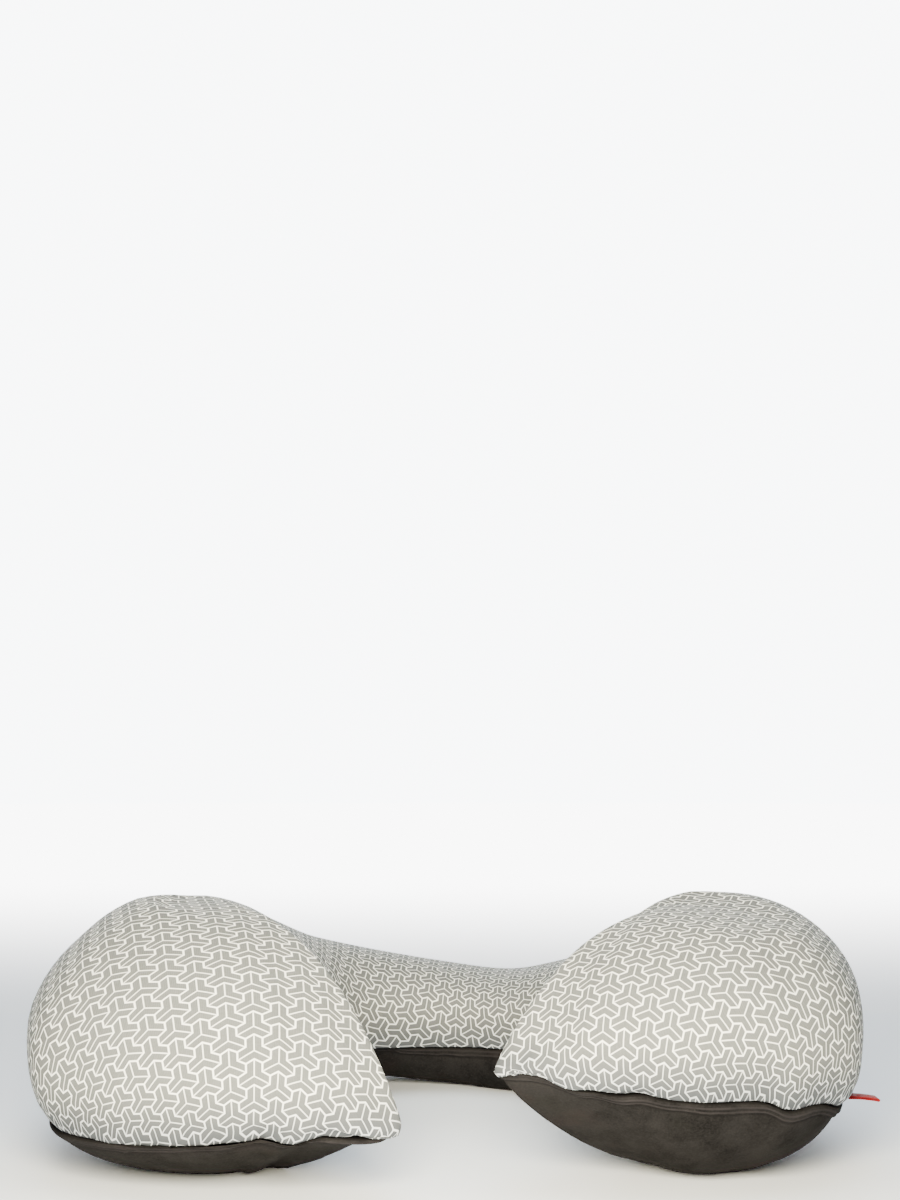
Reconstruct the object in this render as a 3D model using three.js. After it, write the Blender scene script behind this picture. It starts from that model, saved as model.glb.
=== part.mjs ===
// A U-shaped travel pillow lying on its base: two full lobes in front, a low bridge behind.
// Millimetres, +Z up, +X to the right and +Y towards the bridge. The tables are written about
// the middle of the neck hole, and the whole part is then set over the middle of its own box.
import * as THREE from 'three';

// Clearance between two sewn pieces, and the area under which a face counts as closed up
const GAP = 0.3;
const SMALLEST_FACE = 1e-6;

// Mesh steps: along the arms, round the lobe ends, and up or down a cover's section
const STEPS_ARM = 4;
const STEPS_END = 3;
const STEPS_TUCK = 3;
const STEPS_CROWN = 10;
const STEPS_KEEL = 6;
const STEPS_SEAM_FACE = 3;

// Section shape of the stuffed cover: how high the widest line stands over the seam for each
// millimetre that the seam is drawn in, the arc between them, and how full the top and base are
const RISE_PER_TUCK = 3;
const TUCK_ARC = THREE.MathUtils.degToRad(60);
const CROWN_FULLNESS = 2.2;
const KEEL_FULLNESS = 2;

// Ribbon tab in the right side seam. alongArm is its place in the working frame, and outOfSeam
// and overSeam are how far its root stands out of the seam and above it.
const TAB = {
  width: 7,
  length: 12.4,
  layer: 0.35,
  space: 0.3,
  droop: 0.5,
  foldSteps: 8,
  lengthSteps: 6,
  alongArm: -85,
  outOfSeam: 1.5,
  overSeam: 0.5,
};

const TOP_COLOUR = 0xbdbab2;
const BASE_COLOUR = 0x463e38;
const TAB_COLOUR = 0xc83223;

// Cross-sections from the left lobe round the bridge to the right lobe. crown is the top of the
// filling; inner and outer are the seam on the neck side and on the far side.
const SECTIONS = [
  { name: 'left lobe end', crown: [-86, -56, 93.6], inner: [-24, -108, 24], outer: [-132.6, -105, 17.3] },
  { name: 'left lobe', crown: [-91, -43, 94.4], inner: [-39, -86, 25], outer: [-142, -68, 22] },
  { name: 'left shoulder', crown: [-93, -29, 93.8], inner: [-49, -57, 25.5], outer: [-144, -25, 23.5] },
  { name: 'left arm', crown: [-90, -2, 90], inner: [-54, -26, 24.5], outer: [-140, 18, 23.5] },
  { name: 'left bend', crown: [-80, 44, 80], inner: [-53, 20, 22], outer: [-109, 83, 22] },
  { name: 'left of bridge', crown: [-54, 84, 66.5], inner: [-38, 55, 20], outer: [-58, 123, 21] },
  { name: 'bridge', crown: [0, 102, 54.5], inner: [0, 69, 19], outer: [0, 136, 20] },
  { name: 'low bridge', crown: [31, 98, 51.5], inner: [22, 64, 19], outer: [32, 133, 20.5] },
  { name: 'right of bridge', crown: [57, 83, 58.5], inner: [41, 51, 20.5], outer: [62, 121, 21] },
  { name: 'right bend', crown: [86, 44, 71], inner: [55, 20, 26], outer: [109, 83, 23] },
  { name: 'right arm', crown: [96, -2, 86.5], inner: [54, -28, 32], outer: [141, 18, 25] },
  { name: 'right shoulder', crown: [98, -29, 92.8], inner: [47, -57, 35.5], outer: [144, -25, 25.5] },
  { name: 'right lobe', crown: [95, -44, 94.2], inner: [37, -84, 37.5], outer: [142.5, -66, 26] },
  { name: 'right lobe end', crown: [88, -58, 92.2], inner: [24, -106, 38.5], outer: [135.3, -100, 24.4] },
];

// Profile on the neck side of each section in turn, and below that on the far side. tuck is how far
// the seam is drawn in under the widest line, rim how squarely the top rolls over to the side and
// keel how squarely the base does; pad is the part of the half width that lies flat on the floor.
const INNER_PROFILES = [
  { tuck: 2, rim: 1.3, keel: 1.1, pad: 0.26 },
  { tuck: 4, rim: 1.55, keel: 1.15, pad: 0.2 },
  { tuck: 5, rim: 1.75, keel: 1.2, pad: 0.2 },
  { tuck: 6, rim: 1.9, keel: 1.2, pad: 0.18 },
  { tuck: 6, rim: 2.0, keel: 1.1, pad: 0.12 },
  { tuck: 5, rim: 2.0, keel: 0.9, pad: 0.04 },
  { tuck: 5, rim: 2.0, keel: 1.4, pad: 0.3 },
  { tuck: 5, rim: 2.0, keel: 1.7, pad: 0.6 },
  { tuck: 5, rim: 2.0, keel: 1.7, pad: 0.55 },
  { tuck: 5, rim: 2.0, keel: 1.5, pad: 0.4 },
  { tuck: 5, rim: 1.9, keel: 1.35, pad: 0.28 },
  { tuck: 4, rim: 1.58, keel: 1.25, pad: 0.24 },
  { tuck: 3, rim: 1.36, keel: 1.15, pad: 0.2 },
  { tuck: 2, rim: 1.2, keel: 1.05, pad: 0.18 },
];
const OUTER_PROFILES = [
  { tuck: 8.2, rim: 1.8, keel: 1.15, pad: 0.3 },
  { tuck: 8.5, rim: 1.82, keel: 1.2, pad: 0.24 },
  { tuck: 8.5, rim: 1.82, keel: 1.2, pad: 0.2 },
  { tuck: 8, rim: 1.9, keel: 1.3, pad: 0.2 },
  { tuck: 7, rim: 2.0, keel: 1.4, pad: 0.22 },
  { tuck: 6, rim: 2.0, keel: 1.5, pad: 0.26 },
  { tuck: 6, rim: 2.0, keel: 1.5, pad: 0.3 },
  { tuck: 6, rim: 2.0, keel: 1.5, pad: 0.3 },
  { tuck: 6, rim: 2.0, keel: 1.5, pad: 0.28 },
  { tuck: 7, rim: 2.0, keel: 1.4, pad: 0.26 },
  { tuck: 8, rim: 2.1, keel: 1.35, pad: 0.24 },
  { tuck: 8.5, rim: 2.2, keel: 1.3, pad: 0.24 },
  { tuck: 8.8, rim: 2.3, keel: 1.25, pad: 0.24 },
  { tuck: 8.6, rim: 2.22, keel: 1.25, pad: 0.31 },
];

// The seam round each lobe end, from the pointed inner tip to the outer corner, with its gathers
const LEFT_END = [
  { name: 'behind tip', seam: [-18.5, -120, 23], tuck: 1.5, rim: 1.25, keel: 0.9, pad: 0.06 },
  { name: 'tip', seam: [-16.3, -129, 22], tuck: 1.5, rim: 1.22, keel: 0.85, pad: 0.05 },
  { name: 'before tip', seam: [-22.5, -134, 21.5], tuck: 1.5, rim: 1.29, keel: 0.8, pad: 0.05 },
  { name: 'front by tip', seam: [-33.9, -136, 22], tuck: 2.8, rim: 1.43, keel: 0.88, pad: 0.16 },
  { name: 'slack', seam: [-48.9, -136.5, 21.1], tuck: 4.4, rim: 1.58, keel: 1.05, pad: 0.3 },
  { name: 'gather', seam: [-57.8, -136.5, 23.3], tuck: 5.2, rim: 1.66, keel: 1.15, pad: 0.34 },
  { name: 'front', seam: [-78, -135, 20.5], tuck: 6.4, rim: 1.72, keel: 1.25, pad: 0.37 },
  { name: 'front by corner', seam: [-101.5, -128, 18.8], tuck: 7.4, rim: 1.74, keel: 1.25, pad: 0.35 },
  { name: 'corner', seam: [-118, -119, 18], tuck: 7.8, rim: 1.76, keel: 1.2, pad: 0.33 },
];
const RIGHT_END = [
  { name: 'behind tip', seam: [19, -115, 38.5], tuck: 1, rim: 1.27, keel: 1.0, pad: 0.08 },
  { name: 'tip', seam: [17, -122, 38.5], tuck: 1, rim: 1.15, keel: 1.0, pad: 0.06 },
  { name: 'before tip', seam: [27, -127, 38.4], tuck: 1.5, rim: 1.22, keel: 1.02, pad: 0.1 },
  { name: 'gather', seam: [38, -129, 34.2], tuck: 3.5, rim: 1.38, keel: 0.94, pad: 0.15 },
  { name: 'front by tip', seam: [49.9, -131.5, 33.3], tuck: 4.8, rim: 1.6, keel: 0.9, pad: 0.2 },
  { name: 'front', seam: [82.9, -131.5, 30.6], tuck: 6.6, rim: 1.92, keel: 1.12, pad: 0.38 },
  { name: 'front by corner', seam: [105.5, -126, 30.4], tuck: 7.4, rim: 2.0, keel: 1.2, pad: 0.36 },
  { name: 'slack', seam: [115.8, -121, 26.9], tuck: 7.8, rim: 2.08, keel: 1.3, pad: 0.35 },
  { name: 'corner', seam: [126.4, -112.5, 27.4], tuck: 8.2, rim: 2.16, keel: 1.3, pad: 0.33 },
];

// The closed seam as one list of rows, each with the section whose crown it belongs to
function seamRows() {
  const order = SECTIONS.map((_, i) => i);
  const last = order.length - 1;
  return [
    ...order.map((i) => ({ ...INNER_PROFILES[i], seam: SECTIONS[i].inner, section: i })),
    ...RIGHT_END.map((row) => ({ ...row, section: last })),
    ...order.reverse().map((i) => ({ ...OUTER_PROFILES[i], seam: SECTIONS[i].outer, section: i })),
    ...[...LEFT_END].reverse().map((row) => ({ ...row, section: 0 })),
  ];
}

// A smooth value between two rows, led in and out by the rows on either side
function smoothBetween(rows, i, f, key) {
  const value = (offset) => rows[(i + offset + rows.length) % rows.length][key];
  const leaving = (value(1) - value(-1)) / 2;
  const arriving = (value(2) - value(0)) / 2;
  const rise = value(1) - value(0);
  const bend = 3 * rise - 2 * leaving - arriving;
  const turn = leaving + arriving - 2 * rise;
  return value(0) + f * (leaving + f * (bend + f * turn));
}

// Even steps along the seam, each with its seam point, its profile and its crown point
function seamColumns() {
  const rows = seamRows();
  const seam = new THREE.CatmullRomCurve3(
    rows.map((row) => new THREE.Vector3(...row.seam)), true, 'centripetal');
  const crown = new THREE.CatmullRomCurve3(
    SECTIONS.map((row) => new THREE.Vector3(...row.crown)), false, 'centripetal');
  const columns = [];
  rows.forEach((row, i) => {
    const next = rows[(i + 1) % rows.length];
    const steps = row.section === next.section ? STEPS_END : STEPS_ARM;
    for (let k = 0; k < steps; k += 1) {
      const f = k / steps;
      const section = THREE.MathUtils.lerp(row.section, next.section, f);
      columns.push({
        seam: seam.getPoint((i + f) / rows.length),
        crown: crown.getPoint(section / (SECTIONS.length - 1)),
        tuck: smoothBetween(rows, i, f, 'tuck'),
        rim: smoothBetween(rows, i, f, 'rim'),
        keel: smoothBetween(rows, i, f, 'keel'),
        pad: smoothBetween(rows, i, f, 'pad'),
        section,
      });
    }
  });
  return columns;
}

// A point of a column, at a share of the way from its crown line out to its seam
function outFromCrown(column, share, z) {
  const x = THREE.MathUtils.lerp(column.crown.x, column.seam.x, share);
  const y = THREE.MathUtils.lerp(column.crown.y, column.seam.y, share);
  return new THREE.Vector3(x, y, z);
}

function halfWidth(column) {
  return Math.hypot(column.seam.x - column.crown.x, column.seam.y - column.crown.y);
}

// Rows of points from the seam out and up over the widest line to the crown
function topRings(columns) {
  const rings = [];
  for (let k = 0; k < STEPS_TUCK; k += 1) {
    const angle = TUCK_ARC * (1 - k / STEPS_TUCK);
    rings.push(columns.map((column) => {
      const { tuck } = column;
      const bulge = (tuck * (Math.cos(angle) - Math.cos(TUCK_ARC))) / (1 - Math.cos(TUCK_ARC));
      const drop = (tuck * RISE_PER_TUCK * Math.sin(angle)) / Math.sin(TUCK_ARC);
      const z = column.seam.z + tuck * RISE_PER_TUCK - drop + GAP / 2;
      return outFromCrown(column, 1 + bulge / halfWidth(column), z);
    }));
  }
  for (let k = 0; k <= STEPS_CROWN; k += 1) {
    const reach = k === STEPS_CROWN ? 0 : Math.cos((Math.PI / 2) * (k / STEPS_CROWN));
    rings.push(columns.map((column) => {
      const widest = column.seam.z + column.tuck * RISE_PER_TUCK + GAP / 2;
      const lift = (1 - reach ** CROWN_FULLNESS) ** (1 / column.rim);
      const z = THREE.MathUtils.lerp(widest, column.crown.z, lift);
      return outFromCrown(column, reach * (1 + column.tuck / halfWidth(column)), z);
    }));
  }
  return rings;
}

// Rows of points from the seam down and in to the flat patch, and on to the middle of it
function baseRings(columns) {
  const rings = [];
  for (let k = 0; k <= STEPS_KEEL; k += 1) {
    const reach = Math.cos((Math.PI / 2) * (k / STEPS_KEEL));
    rings.push(columns.map((column) => {
      const low = k === STEPS_KEEL ? 1 : (1 - reach ** KEEL_FULLNESS) ** (1 / column.keel);
      const share = column.pad + (1 - column.pad) * (k === STEPS_KEEL ? 0 : reach);
      return outFromCrown(column, share, (column.seam.z - GAP / 2) * (1 - low));
    }));
  }
  rings.push(columns.map((column) => outFromCrown(column, 0, 0)));
  return rings;
}

// Rows of points across the filling from the seam to under the crown line, where the halves meet
function seamFaceRings(columns, offset) {
  const middle = SECTIONS.map((row) => (row.inner[2] + row.outer[2]) / 2);
  const rings = [];
  for (let k = 0; k <= STEPS_SEAM_FACE; k += 1) {
    const share = 1 - k / STEPS_SEAM_FACE;
    rings.push(columns.map((column) => {
      const i = Math.min(Math.floor(column.section), SECTIONS.length - 2);
      const under = THREE.MathUtils.lerp(middle[i], middle[i + 1], column.section - i);
      return outFromCrown(column, share, THREE.MathUtils.lerp(under, column.seam.z, share) + offset);
    }));
  }
  return rings;
}

// Triangles over rows of points; the last row runs up and back along one line and closes itself
function addSkin(triangles, rings, outward) {
  for (let r = 0; r + 1 < rings.length; r += 1) {
    const count = rings[r].length;
    for (let c = 0; c < count; c += 1) {
      const d = (c + 1) % count;
      const corners = [rings[r][c], rings[r][d], rings[r + 1][d], rings[r + 1][c]];
      for (const [i, j, k] of [[0, 1, 2], [0, 2, 3]]) {
        const face = [corners[i], corners[j], corners[k]];
        if (!outward) face.reverse();
        if (new THREE.Triangle(...face).getArea() > SMALLEST_FACE) triangles.push(...face);
      }
    }
  }
}

function cushionHalf(outerRings, faceRings, upwards) {
  const triangles = [];
  addSkin(triangles, outerRings, upwards);
  addSkin(triangles, faceRings, !upwards);
  return new THREE.BufferGeometry().setFromPoints(triangles);
}

// A ribbon folded back on itself: its side view, as a closed outline along its length
function tabOutline() {
  const { length, layer, space, droop, foldSteps, lengthSteps } = TAB;
  const outer = layer + space / 2;
  const straight = length - outer;
  const middle = (along) => -droop * (along / length) ** 2;
  const points = [];
  const run = (height, forwards) => {
    for (let k = 0; k <= lengthSteps; k += 1) {
      const along = straight * (forwards ? k / lengthSteps : 1 - k / lengthSteps);
      points.push(new THREE.Vector2(along, middle(along) + height));
    }
  };
  const fold = (radius, forwards) => {
    for (let k = 1; k < foldSteps; k += 1) {
      const turn = Math.PI * (forwards ? k / foldSteps : 1 - k / foldSteps);
      const x = straight + radius * Math.sin(turn);
      points.push(new THREE.Vector2(x, middle(straight) - radius * Math.cos(turn)));
    }
  };
  run(-outer, true);
  fold(outer, true);
  run(outer, false);
  run(space / 2, true);
  fold(space / 2, false);
  run(-space / 2, false);
  return points;
}

function ribbonTab() {
  const geometry = new THREE.ExtrudeGeometry(new THREE.Shape(tabOutline()), {
    depth: TAB.width,
    bevelEnabled: false,
  });
  geometry.rotateX(Math.PI / 2);
  geometry.translate(0, TAB.width / 2, 0);
  return geometry;
}

// Where the tab leaves the seam on the outer side of the right lobe
function tabRoot(columns) {
  const offSide = (column) => Math.abs(column.seam.y - TAB.alongArm);
  const nearest = columns.filter((column) => column.seam.x > Math.max(column.crown.x, 0))
    .reduce((best, column) => (offSide(column) < offSide(best) ? column : best));
  return new THREE.Vector3(TAB.outOfSeam, 0, TAB.overSeam).add(nearest.seam);
}

function named(name, geometry, color, roughness) {
  const material = new THREE.MeshStandardMaterial({ color, roughness, metalness: 0 });
  const mesh = new THREE.Mesh(geometry, material);
  mesh.name = name;
  return mesh;
}

const columns = seamColumns();
const pillow = new THREE.Group();

pillow.add(named(
  'top_cover',
  cushionHalf(topRings(columns), seamFaceRings(columns, GAP / 2), true),
  TOP_COLOUR, 0.9));

pillow.add(named(
  'base_cover',
  cushionHalf(baseRings(columns), seamFaceRings(columns, -GAP / 2), false),
  BASE_COLOUR, 0.95));

const tab = named('side_tab', ribbonTab(), TAB_COLOUR, 0.7);
tab.position.copy(tabRoot(columns));
pillow.add(tab);

const box = new THREE.Box3().setFromObject(pillow);
const centre = box.getCenter(new THREE.Vector3());
pillow.position.set(-centre.x, -centre.y, 0);

export default pillow;
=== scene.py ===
"""Looks of the travel pillow: printed ribbed jersey on top, brown napped cloth below, a ribbon tab.

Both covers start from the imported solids. Their outer skins are read back as rings of points round the
seam, drawn through by smooth curves, filled out by a cloth simulation, and then given the turned edge,
the fold of the seam allowance and the small puckers. The print lies on the panel as it was cut flat.
Lengths are in metres.
"""

import math

import bpy
import numpy as np
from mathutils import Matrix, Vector, noise


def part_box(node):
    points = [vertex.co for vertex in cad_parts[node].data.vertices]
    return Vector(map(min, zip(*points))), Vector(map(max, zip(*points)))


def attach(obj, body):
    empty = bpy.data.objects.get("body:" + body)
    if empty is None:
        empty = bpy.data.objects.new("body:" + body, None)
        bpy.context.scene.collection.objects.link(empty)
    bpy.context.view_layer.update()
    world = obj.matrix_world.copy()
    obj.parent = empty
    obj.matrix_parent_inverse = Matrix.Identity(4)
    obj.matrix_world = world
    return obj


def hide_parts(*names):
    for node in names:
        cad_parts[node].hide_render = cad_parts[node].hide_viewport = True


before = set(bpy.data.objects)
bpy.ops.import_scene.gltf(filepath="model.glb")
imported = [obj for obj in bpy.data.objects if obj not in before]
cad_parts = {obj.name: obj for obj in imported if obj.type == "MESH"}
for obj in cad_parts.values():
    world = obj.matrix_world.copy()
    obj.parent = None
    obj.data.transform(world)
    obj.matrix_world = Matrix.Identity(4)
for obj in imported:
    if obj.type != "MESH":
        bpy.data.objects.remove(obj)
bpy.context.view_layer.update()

MM = 0.001

# The camera of the photograph, worked out from the pillow's outline at its real size
CAMERA_PLACE = (1.0 * MM, -708.2 * MM, 138.0 * MM)
CAMERA_TILT_UP = math.radians(5.78)
CAMERA_LENS_MM = 51.9
CAMERA_SENSOR_MM = 36.0

# Fineness of the skins: columns for each one of the solid, and the rings of each cover by their
# distance from the seam, close together at the seam and then even up to the middle
COLUMN_SPLIT = 8
RING_SPLIT = 10
TOP_SEAM_RINGS_MM = [0, 0.4, 0.8, 1.2, 1.7, 2.3, 3.0, 3.8, 4.8, 6.0, 7.5]
BASE_SEAM_RINGS_MM = [0, 0.4, 0.8, 1.15, 1.5, 1.85, 2.2, 2.6, 3.0, 3.3, 3.6, 3.9, 4.3, 4.8, 5.6, 7.0]
TOP_FIELD_RINGS = 24
BASE_FIELD_RINGS = 14

# The filling: fineness of the shell that is blown up, how hard, and how far a point may move
SHELL_COLUMN_SPLIT = 2
SHELL_RINGS = 22
SHELL_PRESSURE = 4.0
SHELL_FRAMES = 20
SWELL_LIMIT = 2.5 * MM
EDGE_SLACK = 0.04

# The edge of the top at the seam: how far it turns in, and over what distance
TOP_TURN_DEPTH = 1.1 * MM
TOP_TURN_REACH = 6.0 * MM

# The fold of the base's seam allowance, a double ridge: distance from the seam and height over the cloth
FOLD_PROFILE_MM = [
    (0.0, -0.5), (0.4, 0.0), (0.8, 0.22), (1.15, 0.34), (1.5, 0.42), (1.85, 0.32), (2.2, 0.1), (2.6, 0.06),
    (3.0, 0.16), (3.3, 0.28), (3.6, 0.24), (3.9, 0.0), (4.3, -0.2), (4.8, -0.18), (5.6, 0.0), (8.0, 0.0),
]

# How unevenly wide the fold is: share, wave length and seed of each unevenness
FOLD_UNEVEN_MM = [(0.18, 9, 21), (0.12, 23, 22)]

# Over this distance from the seam the fold turns from standing out level to standing out of the cloth,
# and the base's puckers grow to their full height
FOLD_LEVEL_REACH = 1.5 * MM

# The base's relief fades out towards the floor: below this height for the fold, between these for puckers
FOLD_FLOOR = 6 * MM
PUCKER_FLOOR = (5 * MM, 19 * MM)

# Puckers at the seam: wave length, height, and how far they reach up or down the cloth
TOP_PUCKERS_MM = [(5.0, 0.14, 3.5), (11.0, 0.26, 8.0), (26.0, 0.4, 20.0)]
BASE_PUCKERS_MM = [(6.0, 0.14, 4.0), (13.0, 0.35, 9.0), (30.0, 0.5, 20.0)]
SCALLOP_LENGTH = 3.0 * MM
SCALLOP_HEIGHT = 0.22 * MM
SCALLOP_REACH = 2 * MM

# Where the front of the seam is, along y
FRONT_SEAM = -100 * MM

# Dents where the cloth was eased in at the front seam: place along x, depth, half width, reach
GATHERS_MM = [(-60.0, 1.1, 2.4, 7.0), (32.0, 1.0, 2.6, 8.0), (115.0, 0.7, 3.0, 7.0)]

# Where the seam leaves its even line along the front: place along x, and how much higher it lies there.
# This table and the next three were set from differences measured against the photograph
SEAM_SHIFT_MM = [
    (-130, 0.0), (-117, -1.2), (-105, -1.8), (-80, -2.0), (-67, -3.0), (-55, -3.0), (-47, -1.6),
    (-41, 0.2), (-34, -1.0), (-24, -0.8), (-14, 0.0), (12, 1.2), (18, 1.8), (30, 2.2), (35, 3.0),
    (41, 1.3), (48, 1.5), (55, 0.7), (63, 2.4), (70, 1.0), (90, 0.5), (105, 0.0), (114, -0.7),
    (120, 0.6), (130, 0.0),
]

# The shift is rounded off over these places to each side, comes in along y, and fades with the distance
# from the seam and near the floor; the cloth's slope there is taken over the last of these
SHIFT_ROUNDING_MM = (-3, -1.5, 0, 1.5, 3)
SHIFT_FRONT = (85 * MM, 115 * MM)
SHIFT_REACH = 16 * MM
SHIFT_FLOOR = 8 * MM
SLOPE_REACH = 10 * MM

# Fullness of the arms' outer sides at the front: height over the floor, and how far the side stands out
LEFT_SIDE_MM = [
    (0, -0.8), (8, -1.8), (15, -1.2), (20, 0.6), (25, 1.6), (55, 1.7), (70, 0.2), (80, -1.5), (90, -1.2),
]
RIGHT_SIDE_MM = [
    (0, -0.8), (8, -1.8), (20, -1.8), (24, 0.2), (28, 2.2), (33, 2.0), (42, 0.8), (65, 0.0), (85, -1.0),
]

# How far out and how far forward an arm's side has to be to take that fullness: from none to all of it
SIDE_FROM = (120 * MM, 142 * MM)
SIDE_FRONT = (10 * MM, 60 * MM)

# Places where the base's underside leaves the floor: place along x and y, radius and lift
LIFTS_MM = [
    (-27, -118, 24, 2.0), (-12, -122, 10, 2.0), (50, -116, 16, 1.5), (24, -122, 9, -1.2),
    (-45, 68, 40, 6.2),
]
LIFT_FADE = 3 * MM

# The underside is evened out along the seam so many times, below these heights
UNDERSIDE_PASSES = 60
UNDERSIDE_HEIGHT = (6 * MM, 16 * MM)

# Creases along the jersey's front edge: place along x, half length, height over the seam, depth, width
CREASES_MM = [(-38.0, 9.0, 5.5, 0.9, 1.7), (-36.0, 6.0, 9.5, 0.4, 2.2), (45.0, 6.0, 5.0, 0.5, 1.8)]
CREASE_WANDER = 1.2 * MM
CREASE_WAVE = 14 * MM

# The print: how tall one star is on the flat cloth
STAR_PITCH = 9.3 * MM

# How the top panel lies on the left arm, the bridge and the right arm: the turn of its grain, how much
# closer the print lies across and along the grain than on the flat cloth, and its shift in stars. All but
# the bridge's turn are the result of another program's search for the best match with the photograph
LEFT_LAY = (math.radians(-10.9), -0.074, 0.219, 0.531, 0.662)
BRIDGE_LAY = (0.0, 0.141, 0.015, 0.457, 0.823)
RIGHT_LAY = (math.radians(20.1), 0.068, 0.115, 0.849, 0.863)
ARM_REACH = 60 * MM
GRAIN_HOLD = 4.0
FLATTEN_ROUNDS = 25
RIB_PITCH = 0.55 * MM
COURSE_PITCH = 0.42 * MM

# Points of a skin closer than this are one point
SAME_PLACE = 0.005 * MM

# The hidden face inside each cover: its height off the seam at the middle, and how far in its first ring is
LID_LIFT = 0.5 * MM
LID_INSET = 0.15

# Brightness of the studio all round and of its lit back wall, and how far up and round that reaches
ROOM_GLOW = 0.3
WALL_GLOW = 9.0
WALL_TOP = (math.sin(math.radians(27)), math.sin(math.radians(42)))
WALL_SIDE = (math.cos(math.radians(38)), math.cos(math.radians(22)))
WALL_FLOOR_FROM = (0.25, 1.6)
ROOM_COLOUR = (0.95, 0.98, 1.0, 1)
FLOOR_COLOUR = (0.90, 0.92, 0.95, 1)
FLOOR_RADIUS = 8
FLOOR_DROP = 0.2 * MM

# Lights: place, size, power and colour of each, and the point that they are aimed at
FRONT_LIGHT = ((-0.02, -0.45, 0.165), 0.16, 8.4, (1.0, 0.92, 0.70))
TOP_LIGHT = ((0.0, -0.1, 1.4), 1.2, 15.0, (0.80, 0.92, 1.0))
LIGHT_AIM = (0, -0.02, 0.04)

# The ribbon tab: thickness of a layer and space between both, how far its end hangs, how much shorter it
# shows than the solid, and the steps along it, round its fold, across half its width and round its edge
TAB_LAYER = 0.35 * MM
TAB_SPACE = 0.3 * MM
TAB_DROOP = 0.9 * MM
TAB_SHORTER = 1.5 * MM
TAB_STEPS = 14
TAB_FOLD_STEPS = 12
TAB_HALF_STEPS = 4
TAB_EDGE_STEPS = 4
RIBBON_RIB = 0.38 * MM
RIBBON_THREAD = 0.25 * MM

# Colours of the jersey: ground, lines, both beside the ribs and in the painted shade near the seam, fibres,
# the painted shadow line at the seam, and how far up the painted shade reaches
JERSEY_GROUND = ((0.130, 0.134, 0.128, 1), (0.160, 0.164, 0.157, 1))
JERSEY_GROUND_GAP = (0.070, 0.072, 0.071, 1)
JERSEY_FIBRE = (0.30, 0.30, 0.29, 1)
JERSEY_LINE = (0.97, 0.955, 0.87, 1)
JERSEY_LINE_GAP = (0.60, 0.59, 0.54, 1)
JERSEY_PAINTED_SHADE = ((0.062, 0.068, 0.079, 1), (0.47, 0.50, 0.54, 1))
JERSEY_PAINTED_SEAM_SHADOW = (0.030, 0.029, 0.028, 1)
PAINTED_SHADE_REACH = 22 * MM

# Colours of the suede-like cloth: the nap both ways, fibres, patches, the painted highlight on the fold's
# crests and the painted shade in its furrows
SUEDE_NAP = ((0.0050, 0.0047, 0.0047, 1), (0.0137, 0.0128, 0.0130, 1))
SUEDE_FIBRE = (0.0215, 0.0202, 0.0208, 1)
SUEDE_OLIVE = (0.0112, 0.0114, 0.0100, 1)
SUEDE_REDDISH = (0.0215, 0.0160, 0.0160, 1)
SUEDE_PAINTED_HIGHLIGHT = (0.0215, 0.0192, 0.0205, 1)
SUEDE_PAINTED_SHADE = (0.0048, 0.0043, 0.0045, 1)

# Bands of the fold by their distance from the seam, which get the painted highlight and shade: where each
# starts, is full, fades and is gone
FIRST_CREST_MM = (0.9, 1.4, 1.7, 2.2)
SECOND_CREST_MM = (2.9, 3.2, 3.5, 3.9)
FURROW_MM = (3.8, 4.2, 4.5, 5.6)

# Colours of the ribbon: between and on its ribs, and where it is worn
RIBBON_WEAVE = ((0.15, 0.0038, 0.0050, 1), (0.25, 0.0100, 0.0110, 1))
RIBBON_WORN = (0.34, 0.040, 0.040, 1)


# Reading the solids


def skin_triangles(node, flat_side):
    """Welded points and triangles of a node's outer skin, without the face between the covers."""
    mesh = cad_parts[node].data
    mesh.calc_loop_triangles()
    points = np.array([v.co for v in mesh.vertices])
    points, index = np.unique(np.round(points, 6), axis=0, return_inverse=True)
    index = index.ravel()
    triangles = index[np.array([t.vertices for t in mesh.loop_triangles])]
    a, b, c = (points[triangles[:, k]] for k in range(3))
    normal = np.cross(b - a, c - a)
    upness = normal[:, 2] / np.linalg.norm(normal, axis=1)
    return points, triangles[upness * flat_side < 0.8]


def rings_from_seam(points, triangles, apex_ahead):
    """The skin as rows of points, walked inwards ring by ring from its open edge."""
    apex = {}
    for t in triangles:
        for k in range(3):
            apex[t[k], t[(k + 1) % 3]] = t[(k + 2) % 3]
    following = {a: b for a, b in apex if (b, a) not in apex}
    first = min(following, key=lambda i: tuple(points[i]))
    ring = [first]
    while following[ring[-1]] != first:
        ring.append(following[ring[-1]])
    rings = [ring]
    steps = len(triangles) // len(ring) + 2
    count = len(ring)
    used = set()
    for _ in range(steps):
        inner = [None] * count
        for i, a in enumerate(ring):
            b = ring[(i + 1) % count]
            if a == b or (a, b) not in apex:
                continue
            c = apex[a, b]
            face = tuple(sorted((a, b, c)))
            if face in used:
                continue
            used.add(face)
            inner[(i + 1) % count if apex_ahead else i] = c
        if inner.count(None) == count:
            break
        for i in range(2 * count):
            if inner[i % count] is None:
                inner[i % count] = inner[(i - 1) % count]
        for i, a in enumerate(ring):
            b, c, d = ring[(i + 1) % count], inner[i], inner[(i + 1) % count]
            for face in ((a, b, c), (a, b, d), (a, c, d), (b, c, d)):
                used.add(tuple(sorted(face)))
        ring = inner
        rings.append(ring)
    return np.array([[points[i] for i in ring] for ring in rings])


# Drawing the skins finely


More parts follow.
